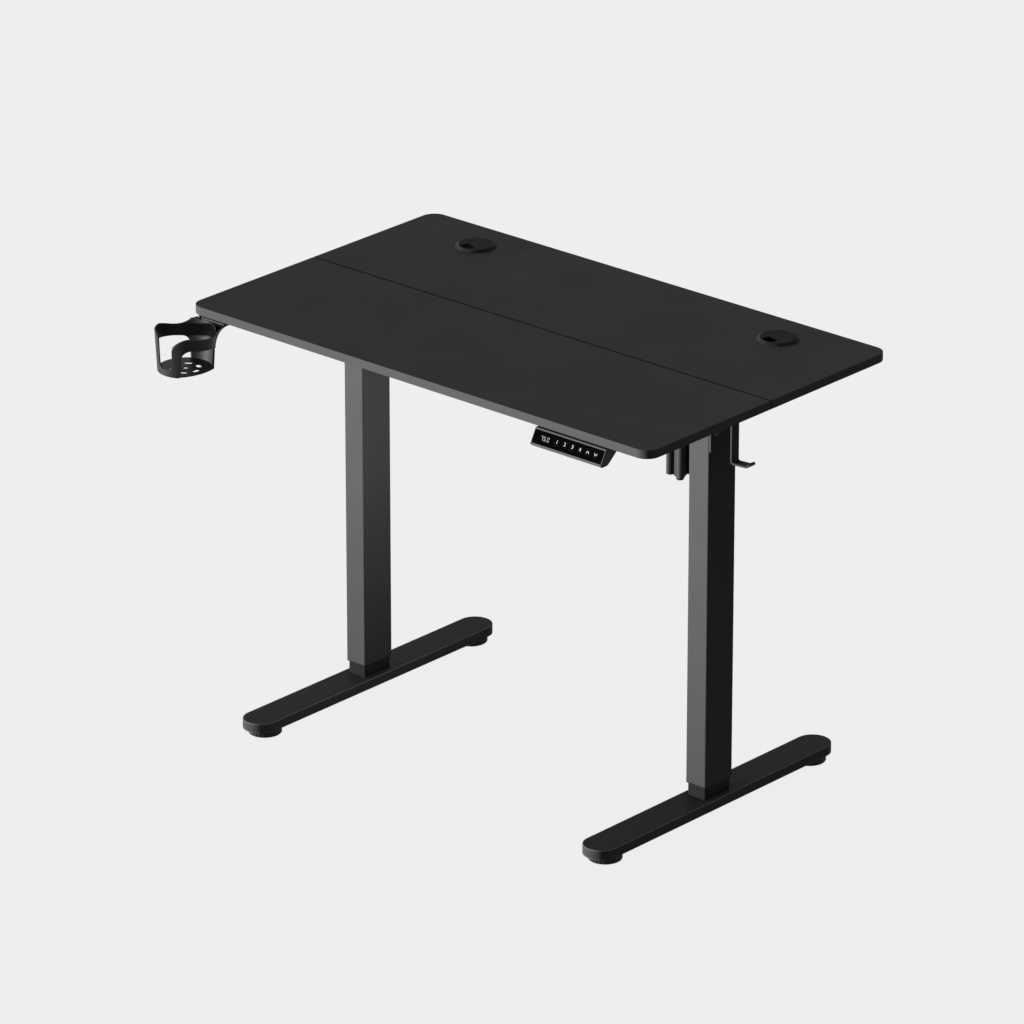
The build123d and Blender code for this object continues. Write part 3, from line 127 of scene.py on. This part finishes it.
# Segments that light for a figure: top, upper right, lower right, bottom, lower left, upper left, middle
LIT_SEGMENTS = {"7": (0, 1, 2), "5": (0, 5, 6, 2, 3), "0": (0, 1, 2, 3, 4, 5)}

# Printed marks of the keys: figures, and chevrons that point up or down, with a painted glow in their ink
KEY_FIGURES = {"one": "1", "two": "2", "three": "3", "four": "4"}
KEY_CHEVRONS = {"up": 1, "down": -1}
MARK_SIZE = 0.0086
CHEVRON_RISE = 0.0021
CHEVRON_REACH = 0.0029
CHEVRON_STROKE = 0.0009
PRINT_COLOUR = (0.3, 0.3, 0.3)
PRINT_PAINTED_GLOW = 0.3
PRINT_ROUGHNESS = 0.4

# Sockets of the mix node for colours
MIX_FACTOR = 0
MIX_FIRST = 6
MIX_SECOND = 7
MIX_RESULT = 2


# Camera and lights


def shown(name, data):
    """New object in the scene."""
    thing = bpy.data.objects.new(name, data)
    bpy.context.scene.collection.objects.link(thing)
    return thing


def lit_from(source):
    """Turn of a lamp whose light comes from the given direction."""
    return source.to_track_quat("Z", "Y").to_matrix().to_4x4()


def camera():
    """Camera at the photograph's place, with its axes as columns."""
    data = bpy.data.cameras.new("photo_camera")
    data.sensor_width = SENSOR
    data.lens = FOCAL_PIXELS * SENSOR / PHOTO_PIXELS
    data.clip_end = CAMERA_SIGHT
    right = Vector(CAMERA_RIGHT)
    up = -Vector(CAMERA_DOWN)
    back = -Vector(CAMERA_AHEAD)
    turn = Matrix((right, up, back)).transposed()
    eye = shown("photo_camera", data)
    eye.matrix_world = Matrix.Translation(CAMERA_PLACE) @ turn.to_4x4()
    bpy.context.scene.camera = eye


def key_light():
    """Soft, even light from far away."""
    data = bpy.data.lights.new("key_light", "SUN")
    data.energy = KEY_STRENGTH
    data.angle = KEY_SPREAD
    azimuth = math.radians(KEY_AZIMUTH)
    elevation = math.radians(KEY_ELEVATION)
    level = math.cos(elevation)
    source = Vector((level * math.cos(azimuth), level * math.sin(azimuth), math.sin(elevation)))
    lamp = shown("key_light", data)
    lamp.matrix_world = lit_from(source)


def fill_light():
    """Soft light from between the columns, out of the camera's sight."""
    data = bpy.data.lights.new("fill_light", "AREA")
    data.energy = FILL_POWER
    data.size = FILL_SIZE
    data.spread = math.radians(FILL_SPREAD)
    lamp = shown("fill_light", data)
    lamp.matrix_world = Matrix.Translation(FILL_PLACE) @ lit_from(Vector(FILL_FROM))
    lamp.visible_camera = False
    lamp.visible_glossy = False


# Shader helpers


def give(tree, target, value):
    """Sets an input to a plain value, or joins another node's output to it."""
    if isinstance(value, bpy.types.NodeSocket):
        tree.links.new(value, target)
    else:
        target.default_value = value


def give_all(tree, node, **inputs):
    """Gives a node its inputs by name, with underscores for blanks."""
    for name, value in inputs.items():
        give(tree, node.inputs[name.replace("_", " ")], value)


def new_node(tree, kind, **inputs):
    """New node with its inputs given by name."""
    node = tree.nodes.new(kind)
    give_all(tree, node, **inputs)
    return node


def calculated(tree, operation, *values):
    """Result of an operation on outputs and plain values."""
    node = tree.nodes.new("ShaderNodeMath")
    node.operation = operation
    for target, value in zip(node.inputs, values):
        give(tree, target, value)
    return node.outputs[0]


def ranged(tree, value, before, after):
    """Value moved from one range to another and kept within it."""
    node = new_node(tree, "ShaderNodeMapRange", Value=value, From_Min=before[0], From_Max=before[1],
                    To_Min=after[0], To_Max=after[1])
    return node.outputs[0]


def mixed_colour(tree, factor, first, second):
    """Blend of two colours."""
    node = tree.nodes.new("ShaderNodeMix")
    node.data_type = "RGBA"
    give(tree, node.inputs[MIX_FACTOR], factor)
    give(tree, node.inputs[MIX_FIRST], first)
    give(tree, node.inputs[MIX_SECOND], second)
    return node.outputs[MIX_RESULT]


def mixed_shader(tree, factor, first, second):
    """Blend of two shaders."""
    node = tree.nodes.new("ShaderNodeMixShader")
    for target, value in zip(node.inputs, (factor, first, second)):
        give(tree, target, value)
    return node.outputs[0]


def opaque(colour):
    """Colour with its alpha."""
    return (*colour, 1)


def plain(level):
    """Neutral colour with its alpha."""
    return opaque((level, level, level))


def grey(level):
    """Neutral colour with a trace of blue."""
    return (level, level, COOL_TINT * level)


# Studio


def seen_directly(tree):
    """One for rays from the camera and for those that metal or glass sends on, else nothing."""
    path = tree.nodes.new("ShaderNodeLightPath")
    total = path.outputs["Is Camera Ray"]
    for kind in ("Is Glossy Ray", "Is Transmission Ray"):
        total = calculated(tree, "MAXIMUM", total, path.outputs[kind])
    return total


def world():
    """Plain room light, with the pale backdrop where it is seen or mirrored."""
    studio = bpy.data.worlds.new("studio")
    studio.use_nodes = True
    tree = studio.node_tree
    light = tree.nodes["Background"]
    give_all(tree, light, Color=plain(1), Strength=ROOM)
    seen = new_node(tree, "ShaderNodeBackground", Color=plain(BACKDROP))
    both = mixed_shader(tree, seen_directly(tree), light.outputs[0], seen.outputs[0])
    give_all(tree, tree.nodes["World Output"], Surface=both)
    bpy.context.scene.world = studio


def floor_paint():
    """Pale glow with a faint shadow where the floor is seen, and a dim bounce of light elsewhere."""
    paint = bpy.data.materials.new("studio_floor")
    paint.use_nodes = True
    tree = paint.node_tree
    tree.nodes.clear()
    shade = new_node(tree, "ShaderNodeBsdfDiffuse", Color=plain(FLOOR_ALBEDO))
    bounce = new_node(tree, "ShaderNodeBsdfDiffuse", Color=plain(FLOOR_BOUNCE))
    glow = new_node(tree, "ShaderNodeEmission", Color=plain(FLOOR_GLOW))
    seen = mixed_shader(tree, FLOOR_SHADE, glow.outputs[0], shade.outputs[0])
    both = mixed_shader(tree, seen_directly(tree), bounce.outputs[0], seen)
    new_node(tree, "ShaderNodeOutputMaterial", Surface=both)
    return paint


def floor():
    """Square floor under the desk."""
    mesh = bpy.data.meshes.new("studio_floor")
    corners = [(x * FLOOR_REACH, y * FLOOR_REACH, 0) for x, y in ((-1, -1), (1, -1), (1, 1), (-1, 1))]
    mesh.from_pydata(corners, [], [(0, 1, 2, 3)])
    mesh.materials.append(floor_paint())
    plane = shown("studio_floor", mesh)


# Surfaces of the desk


def noise(tree, place, scale, detail, roughness):
    """Noise from nothing to one, finer at a larger scale."""
    node = new_node(tree, "ShaderNodeTexNoise", Vector=place, Scale=scale, Detail=detail, Roughness=roughness)
    return node.outputs[0]


def textured(name, colour, rough, metal=0.0, specular=0.5, grain=900.0, bump=0.1, mottle=12.0, vary=0.15,
             rough_vary=0.08, stretch=(1, 1, 1), edge=0.0004, wear_and_highlight=0.0, worn_and_highlit_grey=WORN_AND_HIGHLIT_GREY, seam=None):
    """Procedural surface: fine grain in its bump, slow mottling in colour and roughness, softened edges."""
    paint = bpy.data.materials.new(name)
    paint.use_nodes = True
    tree = paint.node_tree
    place = tree.nodes.new("ShaderNodeTexCoord").outputs["Object"]
    scaled = new_node(tree, "ShaderNodeMapping", Vector=place, Scale=stretch).outputs[0]
    fine = noise(tree, scaled, grain, GRAIN_DETAIL, GRAIN_ROUGHNESS)
    slow = noise(tree, scaled, mottle, MOTTLE_DETAIL, MOTTLE_ROUGHNESS)
    bevel = new_node(tree, "ShaderNodeBevel", Radius=edge)
    bevel.samples = EDGE_SAMPLES
    soft = bevel.outputs[0]
    darker = opaque(c * (1 - vary) for c in colour)
    lighter = opaque(min(1.0, c * (1 + vary)) for c in colour)
    base = mixed_colour(tree, slow, darker, lighter)
    # lighter edges: partly rubbed paint, partly a painted highlight
    if wear_and_highlight > 0:
        base = worn_and_highlit_edges(tree, soft, base, wear_and_highlight, worn_and_highlit_grey)
    # painted shade along the seam between the boards
    if seam is not None:
        base = seam_painted_shade(tree, place, base, seam)
    uneven = calculated(tree, "MULTIPLY_ADD", fine, GRAIN_SHARE, slow)
    roughness = ranged(tree, uneven, (0, 1), (rough - rough_vary, rough + rough_vary))
    relief = new_node(tree, "ShaderNodeBump", Strength=bump, Distance=GRAIN_DEPTH, Height=fine, Normal=soft)
    give_all(tree, tree.nodes["Principled BSDF"], Base_Color=base, Metallic=metal, Roughness=roughness,
             Specular_IOR_Level=specular, Normal=relief.outputs[0])
    return paint


def worn_and_highlit_edges(tree, soft, colour, amount, worn_and_highlit_grey):
    """Lightens the paint along sharp edges, where the softened normal leaves the true one: partly wear,
    partly a painted highlight.
    """
    true = tree.nodes.new("ShaderNodeNewGeometry").outputs["Normal"]
    agree = tree.nodes.new("ShaderNodeVectorMath")
    agree.operation = "DOT_PRODUCT"
    give(tree, agree.inputs[0], soft)
    give(tree, agree.inputs[1], true)
    mask = ranged(tree, agree.outputs["Value"], (1, FULL_WEAR_AND_HIGHLIGHT), (0, amount))
    return mixed_colour(tree, mask, colour, opaque(grey(worn_and_highlit_grey)))


def seam_painted_shade(tree, place, colour, seam):
    """Paints shade on the boards along their seam, for the shadow in the gap between them."""
    split = new_node(tree, "ShaderNodeSeparateXYZ", Vector=place)
    offset = calculated(tree, "SUBTRACT", split.outputs["Y"], seam)
    away = calculated(tree, "ABSOLUTE", offset)
    mask = ranged(tree, away, (SEAM_SHADE_WIDTH / 2, SEAM_SHADE_WIDTH), (0, 1))
    return mixed_colour(tree, mask, plain(SEAM_SHADE_GREY), colour)


def printed(name, colour, glow):
    """Ink with a painted glow on the keys, or the display's lit segments."""
    ink = bpy.data.materials.new(name)
    ink.use_nodes = True
    tree = ink.node_tree
    give_all(tree, tree.nodes["Principled BSDF"], Base_Color=opaque(colour), Roughness=PRINT_ROUGHNESS,
             Emission_Color=opaque(colour), Emission_Strength=glow)
    return ink


def materials():
    """One procedural material for each slot of the record, and one for the feet with a painted highlight
    along their rim.
    """
    seam = (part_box("front_board")[1][1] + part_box("rear_board")[0][1]) / 2
    return {
        "board": textured("laminate", grey(0.043), rough=0.6, specular=0.06, grain=1400, bump=0.18, mottle=9,
                          vary=0.08, edge=0.0006, seam=seam),
        "dowel_wood": textured("beech", (0.58, 0.42, 0.25), rough=0.6, grain=300, mottle=60,
                               stretch=(1, 0.1, 1)),
        "black_steel": textured("powder_coat", grey(0.06), rough=0.5, specular=0.015, grain=2200, bump=0.22,
                                vary=0.1, edge=0.0008, wear_and_highlight=0.25),
        # feet: a strong painted highlight along the top rim
        "foot_steel": textured("foot_coat", grey(0.06), rough=0.5, specular=0.015, grain=2200, bump=0.22,
                               vary=0.1, edge=0.002, wear_and_highlight=1.0, worn_and_highlit_grey=0.6),
        "inner_steel": textured("inner_paint", grey(0.015), rough=0.45, specular=0.03, grain=1800,
                                edge=0.0008, wear_and_highlight=0.2),
        "hook_steel": textured("hook_coat", grey(0.034), rough=0.45, specular=0.03, grain=2200, bump=0.15,
                               edge=0.0008, wear_and_highlight=0.5),
        "pad_plastic": textured("pad_moulding", grey(0.018), rough=0.5, specular=0.1, grain=1500, bump=0.2),
        "glide_plastic": textured("glide_moulding", grey(0.02), rough=0.5, specular=0.04, grain=1200,
                                  bump=0.12),
        "nut_plastic": textured("acetal", (0.78, 0.76, 0.7), rough=0.4, grain=700, bump=0.06),
        "cast_alloy": textured("die_casting", grey(0.6), rough=0.45, metal=1.0, bump=0.3),
        "bright_steel": textured("drawn_steel", grey(0.17), rough=0.62, metal=1.0, grain=400,
                                 stretch=(0.1, 1, 1)),
        "gear_steel": textured("cut_steel", grey(0.4), rough=0.32, metal=1.0, grain=600),
        "fastener_steel": textured("black_oxide", grey(0.04), rough=0.42, metal=0.3, specular=0.2,
                                   edge=0.0003, wear_and_highlight=0.1),
        "grommet_plastic": textured("grommet_moulding", grey(0.03), rough=0.45, specular=0.01, grain=1500,
                                    bump=0.14),
        "gearbox_alloy": textured("gearbox_casting", grey(0.03), rough=0.5, specular=0.1, grain=700, bump=0.3,
                                  wear_and_highlight=0.2),
        "motor_case": textured("motor_paint", grey(0.034), rough=0.42, specular=0.08, grain=1300, bump=0.12,
                               edge=0.0005, wear_and_highlight=0.2),
        "box_plastic": textured("box_moulding", grey(0.03), rough=0.5, specular=0.2, grain=1000, bump=0.3),
        "circuit": textured("solder_mask", (0.03, 0.15, 0.06), rough=0.35, grain=500),
        "handset_plastic": textured("handset_moulding", grey(0.04), rough=0.5, specular=0.15, grain=1600,
                                    bump=0.2),
        "panel_gloss": textured("panel_gloss", grey(0.0008), rough=0.12, specular=0.012, grain=200, bump=0.01,
                                rough_vary=0.04),
        "display": textured("display_window", grey(0.006), rough=0.1, grain=200, bump=0.01, rough_vary=0.03),
        "key_gloss": textured("key_gloss", grey(0.0016), rough=0.16, specular=0.02, grain=200, bump=0.01,
                              rough_vary=0.04),
        "cup_plastic": textured("cup_moulding", grey(0.0085), rough=0.46, specular=0.14, grain=1300,
                                bump=0.22, edge=0.0005, wear_and_highlight=0.15),
    }


def dress():
    """Gives each node of the model its slot's material, and the feet a coat with a painted highlight along
    the rim.
    """
    paints = materials()
    for row in frame["record"]["subparts"]:
        kind = "foot_steel" if row["node"] in FEET else row["material_slot"]
        for slot in nodes[row["node"]].material_slots:
            slot.material = paints[kind]


# Marks on the handset


def face_frame(x, rise):
    """Place on the handset's sloping face, up from its mid height: X along the desk, Y up the slope."""
    board_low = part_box("front_board")[0]
    normal = Vector((0, -FACE_DROP, FACE_RUN)).normalized()
    right = Vector((1, 0, 0))
    up = normal.cross(right)
    front = board_low[1] - HANDSET_LIP
    top = board_low[2] - HANDSET_LIP_DROP
    middle = Vector((x, front - FACE_RUN / 2, top - FACE_DROP / 2))
    turn = Matrix((right, up, normal)).transposed().to_4x4()
    return Matrix.Translation(middle + up * rise + normal * PRINT_LIFT) @ turn


def flat_mesh(name, polygons, ink):
    """Thin flat piece from closed outlines in its own plane."""
    points = []
    faces = []
    for outline in polygons:
        faces.append([len(points) + n for n in range(len(outline))])
        points += [(x, y, 0) for x, y in outline]
    mesh = bpy.data.meshes.new(name)
    mesh.from_pydata(points, [], faces)
    mesh.materials.append(ink)
    return shown(name, mesh)


def text_piece(name, char, ink):
    """Printed character, centred on its place."""
    curve = bpy.data.curves.new(name, "FONT")
    curve.body = char
    curve.size = MARK_SIZE
    curve.align_x = "CENTER"
    curve.align_y = "CENTER"
    curve.materials.append(ink)
    return shown(name, curve)


def stroke(a, b, width):
    """Straight stroke with pointed ends, as a closed outline."""
    start = Vector(a)
    end = Vector(b)
    along = (end - start).normalized() * width / 2
    across = Vector((-along.y, along.x))
    one_side = [start + along + across, end - along + across]
    other_side = [end - along - across, start + along - across]
    return [tuple(c) for c in (start, *one_side, end, *other_side)]


def figure(char, left):
    """Seven-segment figure as a list of outlines."""
    right = left + FIGURE_WIDTH
    top = FIGURE_HEIGHT / 2
    ends = [
        ((left, top), (right, top)),
        ((right, top), (right, 0)),
        ((right, 0), (right, -top)),
        ((left, -top), (right, -top)),
        ((left, 0), (left, -top)),
        ((left, top), (left, 0)),
        ((left, 0), (right, 0)),
    ]
    return [stroke(*ends[n], FIGURE_STROKE) for n in LIT_SEGMENTS[char]]


def display_figures(ink):
    """Lit height in centimetres with one decimal."""
    starts = (0, FIGURE_PITCH, 2 * FIGURE_PITCH + POINT_ROOM)
    middle = (starts[2] + FIGURE_WIDTH) / 2
    shapes = []
    for char, start in zip(DISPLAY_TEXT, starts):
        shapes += figure(char, start - middle)
    point = (starts[1] + FIGURE_WIDTH + starts[2]) / 2 - middle
    half = FIGURE_STROKE / 2
    foot = -FIGURE_HEIGHT / 2
    shapes.append(stroke((point - half, foot), (point + half, foot), FIGURE_STROKE))
    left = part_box("handset_housing")[0][0]
    piece = flat_mesh("display_figures", shapes, ink)
    piece.matrix_world = face_frame(left + DISPLAY_FROM_LEFT, DISPLAY_RISE)
    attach(piece, "upper_frame")


def key_marks(ink):
    """Printed figures on four keys and chevrons on two."""
    for name, char in KEY_FIGURES.items():
        place_mark(text_piece("mark_" + name, char, ink), "key_" + name)
    for name, sign in KEY_CHEVRONS.items():
        tip = (0, sign * CHEVRON_RISE)
        feet = [(side * CHEVRON_REACH, -sign * CHEVRON_RISE) for side in (-1, 1)]
        arms = [stroke(foot, tip, CHEVRON_STROKE) for foot in feet]
        place_mark(flat_mesh("mark_" + name, arms, ink), "key_" + name)


def place_mark(piece, key):
    """Sets a mark on the middle of its key, to move with it."""
    low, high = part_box(key)
    piece.matrix_world = face_frame((low[0] + high[0]) / 2, KEY_RISE)
    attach(piece, key)


camera()
key_light()
fill_light()
world()
floor()
dress()
display_figures(printed("lit_segments", LIT_COLOUR, LIT_GLOW))
# key print with a painted glow
key_marks(printed("key_print", PRINT_COLOUR, PRINT_PAINTED_GLOW))
bpy.context.scene.view_settings.view_transform = "Standard"
